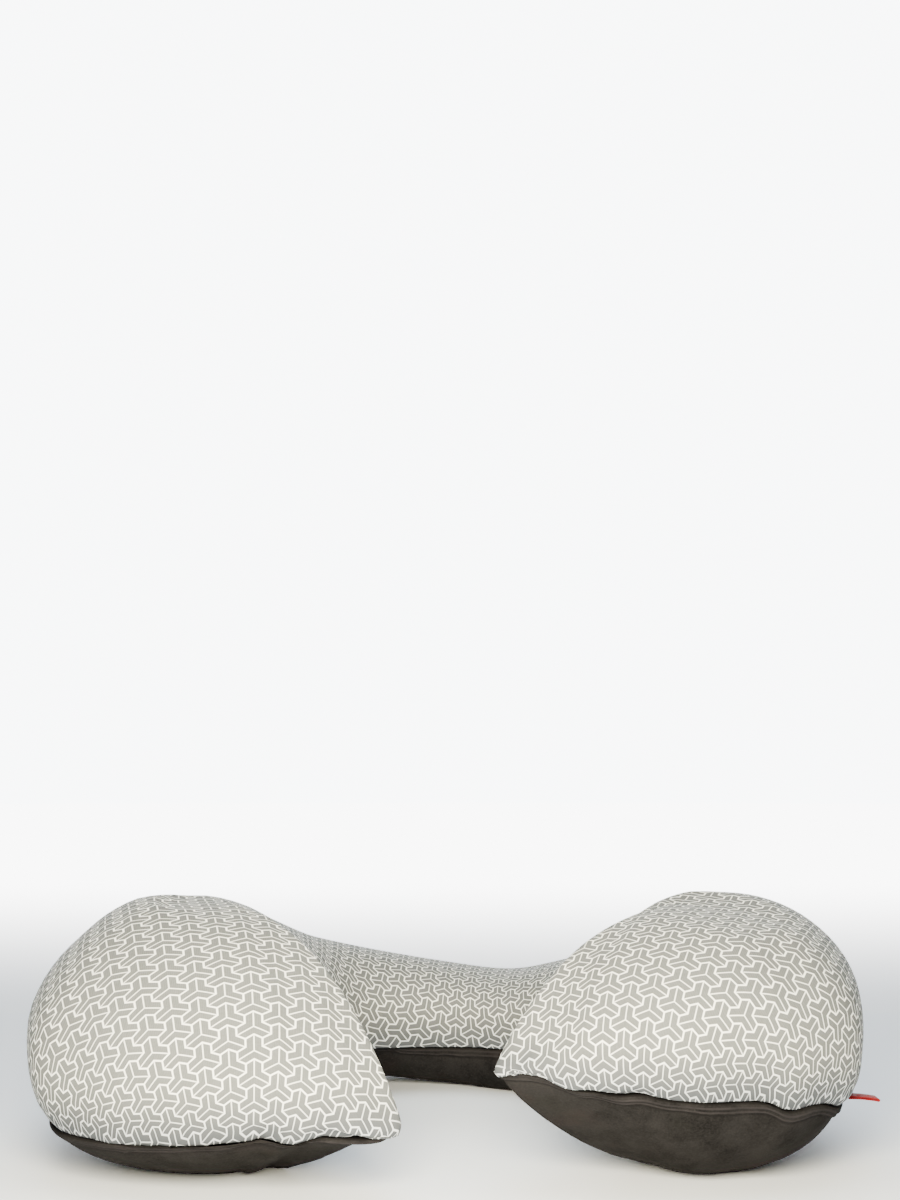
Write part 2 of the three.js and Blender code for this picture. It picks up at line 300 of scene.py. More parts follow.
def smooth_through(rows, places):
    """Values at fractional places along axis 0, on a smooth curve through the rows.

    With places of two axes, each column has its own.
    """
    start = np.clip(np.floor(places).astype(int) - 1, 0, len(rows) - 4)
    f = places - start - 1
    if places.ndim == 2:
        columns = np.arange(rows.shape[1])[None, :]
        a, b, c, d = (rows[start + k, columns] for k in range(4))
        f = f[..., None]
    else:
        a, b, c, d = (rows[start + k] for k in range(4))
        f = f.reshape((-1,) + (1,) * (rows.ndim - 1))
    return b + f * ((c - a) / 2 + f * (a - 2.5 * b + 2 * c - d / 2 + f * (1.5 * (b - c) + (d - a) / 2)))


def split_columns(grid, split):
    """More columns round the closed seam; those that end in one point still do."""
    count = grid.shape[1]
    padded = np.concatenate([grid[:, -1:], grid, grid[:, :2]], axis=1)
    places = 1 + np.arange(count * split) / split
    fine = smooth_through(padded.transpose(1, 0, 2), places).transpose(1, 0, 2)
    together = np.all(grid[-1] == np.roll(grid[-1], -1, axis=0), axis=1)
    held = np.repeat(together, split)
    fine[-1, held] = np.repeat(grid[-1], split, axis=0)[held]
    return fine


def with_ends(grid):
    """The rings with one more before the seam and one past the middle, where the skin lies level."""
    outward = 2 * grid[0] - grid[1]
    beyond = 2 * grid[-1] - grid[-2]
    beyond[:, 2] = grid[-2][:, 2]
    return np.concatenate([outward[None], grid, beyond[None]])


def ring_places(grid, seam_rings_mm, field_rings):
    """Fractional ring numbers that lie at set distances from the seam and then evenly to the middle."""
    numbers = np.linspace(0, len(grid) - 1, (len(grid) - 1) * RING_SPLIT + 1)
    dense = smooth_through(with_ends(grid), 1 + numbers)[:, :, :3]
    steps = np.linalg.norm(np.diff(dense, axis=0), axis=2)
    travelled = np.concatenate([np.zeros((1, dense.shape[1])), np.cumsum(steps, axis=0)])
    near = np.array(seam_rings_mm) * MM
    places = np.empty((len(near) + field_rings, dense.shape[1]))
    for column in range(dense.shape[1]):
        far = np.linspace(near[-1], travelled[-1, column], field_rings + 1)[1:]
        wanted = np.concatenate([near, far])
        places[:, column] = np.interp(wanted, travelled[:, column], numbers)
    return places


def at_places(grid, places):
    """The grid's channels at fractional ring numbers, one list of them to each column."""
    rings = smooth_through(with_ends(grid), 1 + places)
    rings[-1] = grid[-1]
    return rings


def distance_from_seam(rings):
    """How far each point lies from the seam, along its column."""
    steps = np.linalg.norm(np.diff(rings, axis=0), axis=2)
    return np.concatenate([np.zeros((1, rings.shape[1])), np.cumsum(steps, axis=0)])


# Meshes over rings


def meeting(points):
    """The first of the points at each place, and for each point the number of its place."""
    apart = np.linalg.norm(points[:, None] - points[None], axis=2)
    return np.unique((apart < SAME_PLACE).argmax(axis=1), return_inverse=True)


def numbers_after(shared, count, start):
    """Numbers of a second set of points, put after a first set of which it shares the first points."""
    return np.concatenate([np.arange(shared), np.arange(shared, count) - shared + start])


def ring_faces(rings):
    """Points, the number of each ring point, and faces; the last ring is a line run there and back."""
    count = rings.shape[1]
    body = rings[:-1].reshape(-1, 3)
    first, back = meeting(rings[-1])
    middle = rings[-1][first]
    index = np.arange(len(body)).reshape(-1, count)
    index = np.vstack([index, len(body) + back])
    faces = []
    for low, high in zip(index[:-1], index[1:]):
        for c in range(count):
            d = (c + 1) % count
            corners = list(dict.fromkeys((low[c], low[d], high[d], high[c])))
            if len(corners) > 2:
                faces.append(corners)
    return np.vstack([body, middle]), index, faces


def lid(seam, middle, lift):
    """Rings that close a cover inside, from its seam to the line under its crown."""
    height = np.stack([middle[:, 0], middle[:, 1], seam[:, 2]], axis=1)
    _, back = meeting(middle)
    total = np.bincount(back, seam[:, 2]) / np.bincount(back)
    height[:, 2] = total[back] + lift
    inset = seam + (height - seam) * LID_INSET
    return np.stack([seam, inset, height])


# The panel laid flat


def start_flat(rings):
    """A first flat lay: the crown line as in plan, and each column straight out from it."""
    steps = np.linalg.norm(np.diff(rings[::-1], axis=0), axis=2)
    travelled = np.concatenate([np.zeros((1, rings.shape[1])), np.cumsum(steps, axis=0)])[::-1]
    outward = rings[0, :, :2] - rings[-1, :, :2]
    outward /= np.linalg.norm(outward, axis=1)[:, None]
    return rings[-1, :, :2] + travelled[..., None] * outward


def panel_lay(points):
    """Turn, closeness across and along, and shifts of the print at each point, from arm to arm."""
    share = np.clip(points[..., 0] / ARM_REACH, -1, 1)
    share = (share * (3 - share * share) / 2)[..., None]
    left, right = np.maximum(-share, 0), np.maximum(share, 0)
    lay = left * LEFT_LAY + (1 - left - right) * BRIDGE_LAY + right * RIGHT_LAY
    return np.moveaxis(lay, -1, 0)


def lay_flat(rings):
    """The panel as it was cut: (u, v) in metres for each point, v along the grain, least stretched."""
    points, index, faces = ring_faces(rings)
    triangles = []
    for face in faces:
        triangles.extend((face[0], face[k], face[k + 1]) for k in range(1, len(face) - 1))
    triangles = np.array(triangles)
    corner = points[triangles]
    side = corner[:, 1] - corner[:, 0]
    across = np.cross(side, corner[:, 2] - corner[:, 0])
    side /= np.linalg.norm(side, axis=1)[:, None]
    across = np.cross(across / np.linalg.norm(across, axis=1)[:, None], side)
    local = corner - corner[:, :1]
    local = np.stack([np.einsum("tkx,tx->tk", local, side), np.einsum("tkx,tx->tk", local, across)], axis=2)

    count = len(points)
    stiffness = np.zeros((count, count))
    edges = []
    for k in range(3):
        i, j = (k + 1) % 3, (k + 2) % 3
        a, b = local[:, i] - local[:, k], local[:, j] - local[:, k]
        twice_area = np.abs(a[:, 0] * b[:, 1] - a[:, 1] * b[:, 0])
        weight = np.clip(np.sum(a * b, axis=1) / np.maximum(twice_area, 1e-15), 0.02, 20) / 2
        p, q = triangles[:, i], triangles[:, j]
        np.add.at(stiffness, (p, p), weight)
        np.add.at(stiffness, (q, q), weight)
        np.add.at(stiffness, (p, q), -weight)
        np.add.at(stiffness, (q, p), -weight)
        edges.append((p, q, weight[:, None] * (local[:, i] - local[:, j])))
    stiffness[0, 0] += 1
    answer = np.linalg.inv(stiffness)

    def turned(flat):
        """The angle each triangle has turned by in the flat lay."""
        cosine = np.zeros(len(triangles))
        sine = np.zeros(len(triangles))
        for p, q, edge in edges:
            laid = flat[p] - flat[q]
            cosine += np.sum(laid * edge, axis=1)
            sine += laid[:, 1] * edge[:, 0] - laid[:, 0] * edge[:, 1]
        return np.arctan2(sine, cosine)

    flat = np.zeros((count, 2))
    flat[index.ravel()] = start_flat(rings).reshape(-1, 2)
    turn, across, along, _, _ = panel_lay(corner.mean(axis=1))
    held = turned(flat) + turn
    closeness = np.stack([1 + across, 1 + along], axis=1)
    angle = held
    for _ in range(FLATTEN_ROUNDS):
        cosine, sine = np.cos(angle), np.sin(angle)
        load = np.zeros((count, 2))
        for p, q, edge in edges:
            pull_across = cosine * edge[:, 0] - sine * edge[:, 1]
            pull_along = sine * edge[:, 0] + cosine * edge[:, 1]
            pull = np.stack([pull_across, pull_along], axis=1) * closeness
            np.add.at(load, p, pull)
            np.add.at(load, q, -pull)
        flat = answer @ load
        angle = turned(flat)
        cosine = np.cos(angle) + GRAIN_HOLD * np.cos(held)
        sine = np.sin(angle) + GRAIN_HOLD * np.sin(held)
        angle = np.arctan2(sine, cosine)
    shift = np.stack(panel_lay(rings)[3:], axis=-1)
    return flat[index] + STAR_PITCH * shift


# The filling


def shell_object(top, base):
    """A closed shell of both covers for the simulation, with the seam and the resting face held."""
    top_points, top_index, top_faces = ring_faces(top)
    base_points, base_index, base_faces = ring_faces(base)
    count = top.shape[1]
    renumber = numbers_after(count, len(base_points), len(top_points))
    points = np.vstack([top_points, base_points[count:]])
    faces = [f[::-1] for f in top_faces] + [[int(renumber[i]) for i in f] for f in base_faces]
    mesh = bpy.data.meshes.new("shell")
    mesh.from_pydata(points.tolist(), [], [[int(i) for i in f] for f in faces])
    mesh.update()
    shell = bpy.data.objects.new("shell", mesh)
    bpy.context.scene.collection.objects.link(shell)
    held = shell.vertex_groups.new(name="held")
    flat = np.nonzero(points[:, 2] < 0.4 * MM)[0]
    held.add([int(i) for i in flat], 1.0, "REPLACE")
    held.add(list(range(count)), 1.0, "REPLACE")
    seam_closeness = shell.vertex_groups.new(name="eased")
    for index, rings in ((top_index, top), (renumber[base_index], base)):
        nearness = np.exp(-distance_from_seam(rings) / (14 * MM))
        for number, share in zip(index.ravel(), nearness.ravel()):
            seam_closeness.add([int(number)], float(share), "REPLACE")
    return shell, top_index, renumber[base_index]


def swell(top, base):
    """How far the filling moves the points of both shells, from a short cloth simulation."""
    shell, top_index, base_index = shell_object(top, base)
    before = np.array([v.co for v in shell.data.vertices])
    cloth = shell.modifiers.new("cloth", "CLOTH")
    cloth.settings.quality = 6
    cloth.settings.mass = 0.2
    cloth.settings.tension_stiffness = 25
    cloth.settings.compression_stiffness = 25
    cloth.settings.shear_stiffness = 8
    cloth.settings.bending_stiffness = 0.4
    cloth.settings.vertex_group_mass = "held"
    cloth.settings.vertex_group_shrink = "eased"
    cloth.settings.shrink_min = 0.0
    cloth.settings.shrink_max = -EDGE_SLACK
    cloth.settings.use_pressure = True
    cloth.settings.uniform_pressure_force = SHELL_PRESSURE
    cloth.settings.effector_weights.gravity = 0.0
    cloth.collision_settings.use_collision = False
    cloth.point_cache.frame_start = 1
    cloth.point_cache.frame_end = SHELL_FRAMES
    scene = bpy.context.scene
    for number in range(1, SHELL_FRAMES + 1):
        scene.frame_set(number)
        bpy.context.view_layer.update()
    seen = shell.evaluated_get(bpy.context.evaluated_depsgraph_get()).to_mesh()
    after = np.array([v.co for v in seen.vertices])
    shell.evaluated_get(bpy.context.evaluated_depsgraph_get()).to_mesh_clear()
    scene.frame_set(1)
    bpy.data.objects.remove(shell)
    moved = after - before
    size = np.linalg.norm(moved, axis=1)[:, None]
    moved *= SWELL_LIMIT * np.tanh(size / SWELL_LIMIT) / np.maximum(size, 1e-9)
    return moved[top_index], moved[base_index]


# The seam


def bell(distance, width):
    """One where the distance is nought, and fading smoothly over about the width."""
    return np.exp(-((distance / width) ** 2))


def along_front(seam, place, width):
    """One at a place along the front of the seam, fading to both sides, and nought elsewhere."""
    return np.where(seam[:, 1] < FRONT_SEAM, bell(seam[:, 0] - place * MM, width * MM), 0)


def ripple(points, wavelength, seed):
    """Smooth noise from about -1 to 1 at each point, its waves about so long."""
    places = points.reshape(-1, 3) / wavelength + 17.3 * seed
    return np.array([noise.noise(Vector(p)) for p in places]).reshape(points.shape[:-1]) * 1.6


def outward_normals(rings):
    """Unit normals of the rings' points, out of the cushion."""
    along = np.roll(rings, -1, axis=1) - np.roll(rings, 1, axis=1)
    inward = np.empty_like(rings)
    inward[1:-1] = rings[2:] - rings[:-2]
    inward[0] = rings[1] - rings[0]
    inward[-1] = rings[-1] - rings[-2]
    normal = np.cross(along, inward)
    length = np.linalg.norm(normal, axis=2)[..., None]
    return normal / np.maximum(length, 1e-12)


def puckers(rings, waves_mm, seed):
    """Heights of the small folds that run up from the seam and fade with distance."""
    seam = rings[:1]
    drawn = seam + 0.25 * (rings - seam)
    away = distance_from_seam(rings)
    height = np.zeros(rings.shape[:2])
    for number, (wave, size, reach) in enumerate(waves_mm):
        fade = np.exp(-away / (reach * MM))
        height += size * MM * fade * ripple(drawn, wave * MM, seed + number)
    return height


def gathers(rings, share):
    """Depths of the dents where the cloth was eased in along the front of the seam."""
    away = distance_from_seam(rings)
    seam = rings[0]
    depth = np.zeros(rings.shape[:2])
    for place, deep, wide, reach in GATHERS_MM:
        near = along_front(seam, place, wide)
        depth -= share * deep * MM * near[None, :] * np.exp(-away / (reach * MM))
    return depth


def eased(value, low, high):
    """Nought below low, one above high, and a smooth rise between."""
    share = np.clip((value - low) / (high - low), 0, 1)
    return share * share * (3 - 2 * share)


def settled(rings, flat):
    """The rings with the seam's rise and fall along the front; the cloth below is cut to match."""
    away = distance_from_seam(rings)
    seam = rings[0]
    at, high = np.array(SEAM_SHIFT_MM).T * MM
    rise = sum(np.interp(seam[:, 0] + aside * MM, at, high) for aside in SHIFT_ROUNDING_MM)
    rise = rise / len(SHIFT_ROUNDING_MM) * eased(-seam[:, 1], *SHIFT_FRONT)
    rise = rise * bell(away, SHIFT_REACH) * np.clip(rings[..., 2] / SHIFT_FLOOR, 0, 1)
    steps = np.maximum(np.diff(away, axis=0), 1e-6)[..., None]
    across = np.diff(flat, axis=0) / steps
    across = np.concatenate([across, across[-1:]])
    far = np.argmax(away[:, 0] > SLOPE_REACH)
    slope = np.clip((rings[far] - seam)[:, 2] / away[far], 0.5, 1)
    moved = rings.copy()
    moved[..., 2] += rise
    return moved, flat + (rise / slope)[..., None] * across


def filled_sides(rings):
    """The rings with the fullness of the arms' outer sides."""
    moved = rings.copy()
    for side, profile in ((-1, LEFT_SIDE_MM), (1, RIGHT_SIDE_MM)):
        at, out = np.array(profile).T * MM
        share = eased(side * rings[..., 0], *SIDE_FROM) * eased(-rings[..., 1], *SIDE_FRONT)
        moved[..., 0] += side * share * np.interp(rings[..., 2], at, out)
    return moved


def lifted(rings):
    """The base's rings with the places where its underside leaves the floor, smooth low down."""
    away = distance_from_seam(rings)
    moved = rings.copy()
    for x, y, radius, lift in LIFTS_MM:
        apart = np.linalg.norm(rings[..., :2] - np.array((x, y)) * MM, axis=2)
        share = bell(apart, radius * MM) * (1 - np.exp(-away / LIFT_FADE))
        moved[..., 2] += lift * MM * share
    even = moved
    for _ in range(UNDERSIDE_PASSES):
        even = (np.roll(even, 1, axis=1) + 2 * even + np.roll(even, -1, axis=1)) / 4
    share = 1 - eased(moved[..., 2], *UNDERSIDE_HEIGHT)[..., None]
    share[-1] = 0
    moved = moved + share * (even - moved)
    moved[..., 2] = np.maximum(moved[..., 2], 0)
    return moved


def creases(rings):
    """Depths of the creases that lie along the seam on the front of the jersey."""
    away = distance_from_seam(rings)
    seam = rings[0]
    depth = np.zeros(rings.shape[:2])
    wander = CREASE_WANDER * ripple(seam, CREASE_WAVE, 31)
    for place, half, over, deep, wide in CREASES_MM:
        near = along_front(seam, place, half)
        depth -= deep * MM * near[None, :] * bell(away - over * MM - wander, wide * MM)
    return depth


def finish_top(rings):
    """The jersey's turned edge, scallops and puckers."""
    way = outward_normals(rings)
    away = distance_from_seam(rings)
    edge = np.clip(1 - away / TOP_TURN_REACH, 0, 1)
    height = puckers(rings, TOP_PUCKERS_MM, 3) + gathers(rings, 1.0) + creases(rings)
    height -= TOP_TURN_DEPTH * edge**2
    down = rings[0] - rings[1]
    down /= np.linalg.norm(down, axis=1)[:, None]
    wave = ripple(rings[0], SCALLOP_LENGTH, 9)
    slide = SCALLOP_HEIGHT * wave[None, :] * np.exp(-away / SCALLOP_REACH)
    return rings + way * height[..., None] + slide[..., None] * down[None]


def finish_base(rings):
    """The fold of the seam allowance below the seam, and the base's puckers."""
    way = outward_normals(rings)
    away = distance_from_seam(rings)
    at, high = np.array(FOLD_PROFILE_MM).T * MM
    uneven = 1
    for share, wave, seed in FOLD_UNEVEN_MM:
        uneven = uneven + share * ripple(rings[:1], wave * MM, seed)
    height = np.interp(away * uneven, at, high)
    waves = puckers(rings, BASE_PUCKERS_MM, 5) * np.clip(away / FOLD_LEVEL_REACH, 0.35, 1)
    waves = waves + gathers(rings, 0.9)
    height += waves * eased(rings[..., 2], *PUCKER_FLOOR)
    rests = np.clip(rings[..., 2] / FOLD_FLOOR, 0, 1)
    level = way[:1] * (1, 1, 0)
    level /= np.linalg.norm(level, axis=2)[..., None]
    near = np.exp(-away / FOLD_LEVEL_REACH)[..., None]
    way = way + near * level
    way /= np.linalg.norm(way, axis=2)[..., None]
    moved = rings + way * (height * rests)[..., None]
    moved[..., 2] = np.maximum(moved[..., 2], 0)
    return moved


# Pieces


def cover_piece(name, rings, flat, lift):
    """A closed cover with its smooth skin, its inner face and the map of the panel cut flat."""
    points, index, faces = ring_faces(rings)
    closing = lid(rings[0], rings[-1], lift)
    inner_points, inner_index, inner_faces = ring_faces(closing)
    count = rings.shape[1]
    renumber = numbers_after(count, len(inner_points), len(points))
    inner_faces = [f[::-1] for f in inner_faces]
    faces = [[int(i) for i in f] for f in faces] + [[int(renumber[i]) for i in f] for f in inner_faces]
    mesh = bpy.data.meshes.new(name)
    mesh.from_pydata(np.vstack([points, inner_points[count:]]).tolist(), [], faces)
    mesh.update()
    piece = bpy.data.objects.new(name, mesh)
    bpy.context.scene.collection.objects.link(piece)
    mesh.polygons.foreach_set("use_smooth", [True] * len(mesh.polygons))
    corners = np.array([loop.vertex_index for loop in mesh.loops])
    away = distance_from_seam(rings)
    for map_name, values in (("flat_cut", flat), ("from_seam", np.stack([away, 0 * away], axis=-1))):
        place = np.zeros((len(mesh.vertices), 2))
        place[index.ravel()] = values.reshape(-1, 2)
        place[renumber[inner_index].ravel()[count:]] = np.tile(values[0], (2, 1))
        layer = mesh.uv_layers.new(name=map_name)
        layer.data.foreach_set("uv", place[corners].ravel())
    return piece


def ribbon_tab():
    """The folded ribbon at the right side: one strip out to a round fold and back, with rounded edges."""
    low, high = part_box("side_tab")
    start = Vector((low.x, (low.y + high.y) / 2, 0))
    half_width = (high.y - low.y) / 2
    half = TAB_LAYER / 2
    apart = (TAB_LAYER + TAB_SPACE) / 2
    length = high.x - low.x - apart - half - TAB_SHORTER
    root = (high.z + low.z) / 2 + TAB_DROOP / 2
    centre = []
    for step in range(TAB_STEPS + 1):
        share = step / TAB_STEPS
        centre.append((start.x + length * share, root - TAB_DROOP * share**2 - apart))
    for step in range(1, TAB_FOLD_STEPS):
        angle = math.radians(180 * step / TAB_FOLD_STEPS - 90)
        out, up = apart * math.cos(angle), apart * math.sin(angle)
        centre.append((start.x + length + out, root - TAB_DROOP + up))
    for step in range(TAB_STEPS + 1):
        share = 1 - step / TAB_STEPS
        centre.append((start.x + length * share, root - TAB_DROOP * share**2 + apart))
    section = []
    for side in (1, -1):
        for step in range(2 * TAB_HALF_STEPS + 1):
            section.append((side * (half_width - half) * (1 - step / TAB_HALF_STEPS), side * half))
        for step in range(1, TAB_EDGE_STEPS):
            angle = math.radians(180 * step / TAB_EDGE_STEPS)
            out = half_width - half + half * math.sin(angle)
            section.append((-side * out, side * half * math.cos(angle)))
    points, places, faces = [], [], []
    travelled = 0.0
    for k, (x, z) in enumerate(centre):
        ahead = centre[min(k + 1, len(centre) - 1)]
        behind = centre[max(k - 1, 0)]
        way = Vector((ahead[0] - behind[0], ahead[1] - behind[1])).normalized()
        if k:
            travelled += math.dist(centre[k - 1], centre[k])
        for across, height in section:
            points.append((x - way.y * height, start.y + across, z + way.x * height))
            places.append((across, travelled))
    size = len(section)
    for k in range(len(centre) - 1):
        for s in range(size):
            t = (s + 1) % size
            faces.append((k * size + s, k * size + t, (k + 1) * size + t, (k + 1) * size + s))
    faces.append(tuple(range(size - 1, -1, -1)))
    faces.append(tuple(range((len(centre) - 1) * size, len(centre) * size)))
    mesh = bpy.data.meshes.new("ribbon_tab")
    mesh.from_pydata(points, [], faces)
    mesh.update()
    tab = bpy.data.objects.new("ribbon_tab", mesh)
    bpy.context.scene.collection.objects.link(tab)
    mesh.polygons.foreach_set("use_smooth", [len(f) < size for f in faces])
    layer = mesh.uv_layers.new(name="flat_cut")
    for loop in mesh.loops:
        layer.data[loop.index].uv = places[loop.vertex_index]
    return tab


# Materials


class Shader:
    """A node tree with short ways to add nodes; a value or a socket may be given to each."""

    def __init__(self, tree):
        self.tree = tree

    def node(self, kind, **inputs):
        made = self.tree.nodes.new(kind)
        for name, value in inputs.items():
            self.give(made, name.replace("_", " "), value)
        return made

    def give(self, node, name, value):
        if isinstance(value, bpy.types.NodeSocket):
            self.tree.links.new(value, node.inputs[name])
        else:
            node.inputs[name].default_value = value

    def math(self, operation, a, b=0.0, c=None):
        made = self.node("ShaderNodeMath")
        made.operation = operation
        for number, value in enumerate((a, b) if c is None else (a, b, c)):
            self.give(made, number, value)
        return made.outputs[0]

    def noise(self, place, scale, detail=3.0, roughness=0.55):
        made = self.node("ShaderNodeTexNoise", Scale=scale, Detail=detail, Roughness=roughness)
        self.tree.links.new(place, made.inputs["Vector"])
        return made.outputs["Fac"]

    def span(self, value, low, high, to_low=0.0, to_high=1.0):
        made = self.node("ShaderNodeMapRange", From_Min=low, From_Max=high, To_Min=to_low, To_Max=to_high)
        made.interpolation_type = "SMOOTHSTEP"
        self.tree.links.new(value, made.inputs["Value"])
        return made.outputs["Result"]

    def mix(self, share, a, b):
        made = self.node("ShaderNodeMix")
        made.data_type = "RGBA"
        self.give(made, 0, share)
        self.give(made, 6, a)
        self.give(made, 7, b)
        return made.outputs[2]

    def bump(self, height, distance, strength=1.0, under=None):
        made = self.node("ShaderNodeBump", Distance=distance, Strength=strength)
        self.tree.links.new(height, made.inputs["Height"])
        if under is not None:
            self.tree.links.new(under, made.inputs["Normal"])
        return made.outputs["Normal"]

    def ridges(self, value, pitch):
        """Even ridges from nought to one, one to each pitch."""
        return self.math("ABSOLUTE", self.math("SINE", self.math("MULTIPLY", value, math.pi / pitch)))

    def mapped(self, name):
        """Both numbers of a map of the cloth, and the two together."""
        place = self.node("ShaderNodeUVMap")
        place.uv_map = name
        parts = self.node("ShaderNodeSeparateXYZ")
        self.tree.links.new(place.outputs["UV"], parts.inputs[0])
        return parts.outputs["X"], parts.outputs["Y"], place.outputs["UV"]

    def flat_place(self):
        """Across and along the cloth panel, in metres."""
        return self.mapped("flat_cut")

    def from_seam(self):
        """Distance from the seam, in metres."""
        return self.mapped("from_seam")[0]

    def band(self, value, start, full, fades, gone):
        """One between two edges of a band, in millimetres, and zero outside it."""
        rise = self.span(value, start * MM, full * MM)
        return self.math("MULTIPLY", rise, self.span(value, fades * MM, gone * MM, 1.0, 0.0))

    def in_space(self):
        """The point's place in the object's own frame."""
        return self.node("ShaderNodeTexCoord").outputs["Object"]


class Finish(Shader):
    """A material with one surface, whose inputs are set by name."""

    def __init__(self, name):
        self.material = bpy.data.materials.new(name)
        self.material.use_nodes = True
        super().__init__(self.material.node_tree)
        self.tree.nodes.clear()
        self.surface = self.node("ShaderNodeBsdfPrincipled")
        self.output = self.node("ShaderNodeOutputMaterial")
        self.tree.links.new(self.surface.outputs[0], self.output.inputs["Surface"])

    def set(self, name, value):
        self.give(self.surface, name, value)


def star_lines(shader, u, v):
    """Outline and spoke strengths of the three-armed star repeat, u and v in star heights.

    The plane is tiled by kites, three round each star's middle. Their middles form two grids, half a
    step apart, and the number of a kite's column says which of the three ways it points.
    """
    step = 1 / math.sqrt(3)
    kites = []
    for half, column_shift in ((0.0, 0.0), (0.5, 1.0)):
        column = shader.math("ROUND", shader.math("SUBTRACT", shader.math("DIVIDE", u, step), half))
        middle_u = shader.math("MULTIPLY", shader.math("ADD", column, half), step)
        row = shader.math("ROUND", shader.math("SUBTRACT", v, half))
        x = shader.math("SUBTRACT", u, middle_u)
        y = shader.math("SUBTRACT", v, shader.math("ADD", row, half))
        away = shader.math("ADD", shader.math("MULTIPLY", x, x), shader.math("MULTIPLY", y, y))
        way = shader.math("FLOORED_MODULO", shader.math("SUBTRACT", column, column_shift), 3.0)
        kites.append((x, y, way, away))
    first, second = kites
    choice = shader.math("LESS_THAN", first[3], second[3])
    x, y, way = (
        shader.math("MULTIPLY_ADD", choice, shader.math("SUBTRACT", one, other), other)
        for one, other in zip(first[:3], second[:3])
    )
    angle = shader.math("MULTIPLY", shader.math("ADD", way, 1.0), math.radians(-120))
    cosine, sine = shader.math("COSINE", angle), shader.math("SINE", angle)
    across = shader.math("SUBTRACT", shader.math("MULTIPLY", x, cosine), shader.math("MULTIPLY", y, sine))
    along = shader.math("ADD", shader.math("MULTIPLY", x, sine), shader.math("MULTIPLY", y, cosine))
    aside = shader.math("ABSOLUTE", across)
    slant = shader.math("MULTIPLY_ADD", aside, 0.5, shader.math("MULTIPLY", along, math.sqrt(3) / 2))
    outer = shader.math("SMOOTH_MAX", aside, slant, 0.035)
    inside = shader.math("SUBTRACT", step / 2, outer)
    outline = shader.span(inside, 0.018, 0.046, 1.0, 0.0)
    spoke = shader.span(aside, 0.010, 0.036, 1.0, 0.0)
    return outline, spoke


def printed_jersey():
    """Ribbed jersey: grey ground, cream star outlines and spokes, fine ribs, a soft pale sheen and painted
    shade towards the seam.
    """
    shader = Finish("printed_jersey")
    u_metres, v_metres, flat = shader.flat_place()
    place = shader.in_space()
    u = shader.math("DIVIDE", u_metres, STAR_PITCH)
    v = shader.math("DIVIDE", v_metres, STAR_PITCH)
    outline, spoke = star_lines(shader, u, v)

    rib_turn = shader.math("MULTIPLY", u_metres, 2 * math.pi / RIB_PITCH)
    rib = shader.math("ABSOLUTE", shader.math("SINE", shader.math("MULTIPLY", rib_turn, 0.5)))
    lean = shader.math("MULTIPLY", shader.math("ABSOLUTE", shader.math("COSINE", rib_turn)), 0.25)
    course = shader.math("ADD", shader.math("DIVIDE", v_metres, COURSE_PITCH), lean)
    stitch = shader.math("ABSOLUTE", shader.math("SINE", shader.math("MULTIPLY", course, math.pi)))
    knit = shader.math("MULTIPLY_ADD", stitch, 0.3, shader.math("MULTIPLY", rib, 0.7))

    tone = shader.noise(place, 26.0, 4.0)
    grain = shader.noise(flat, 900.0, 2.0)
    ground = shader.mix(tone, *JERSEY_GROUND)
    ground = shader.mix(shader.span(knit, 0.15, 0.75, 0.5, 0.0), ground, JERSEY_GROUND_GAP)
    ground = shader.mix(shader.span(grain, 0.3, 0.75, 0.0, 0.10), ground, JERSEY_FIBRE)
    cream = shader.mix(shader.span(knit, 0.1, 0.6, 0.28, 0.0), JERSEY_LINE, JERSEY_LINE_GAP)
    lines = shader.math("MAXIMUM", outline, shader.math("MULTIPLY", spoke, 0.86))
    colour = shader.mix(lines, ground, cream)

    away = shader.from_seam()
    # Painted shade: the jersey is darker and bluer over the last 22 mm above the seam, where the cloth
    # turns under
    seam_closeness = shader.span(away, 0.0, PAINTED_SHADE_REACH, 0.85, 0.0)
    shaded = shader.mix(lines, *JERSEY_PAINTED_SHADE)
    colour = shader.mix(seam_closeness, colour, shaded)
    # Painted shadow: a thin dark line where the jersey turns into the seam
    colour = shader.mix(shader.span(away, 0.1 * MM, 0.6 * MM, 0.4, 0.0), colour, JERSEY_PAINTED_SEAM_SHADOW)
    shader.set("Base Color", colour)
    shader.set("Roughness", 0.86)
    shader.set("Specular IOR Level", 0.02)
    shader.set("Sheen Weight", 0.02)
    shader.set("Sheen Roughness", 0.5)
    shader.set("Sheen Tint", (0.93, 0.95, 1.0, 1))
    normal = shader.bump(knit, 0.09 * MM, 0.55)
    normal = shader.bump(shader.noise(place, 140.0, 4.0), 0.5 * MM, 0.25, normal)
    shader.set("Normal", normal)
    return shader.material


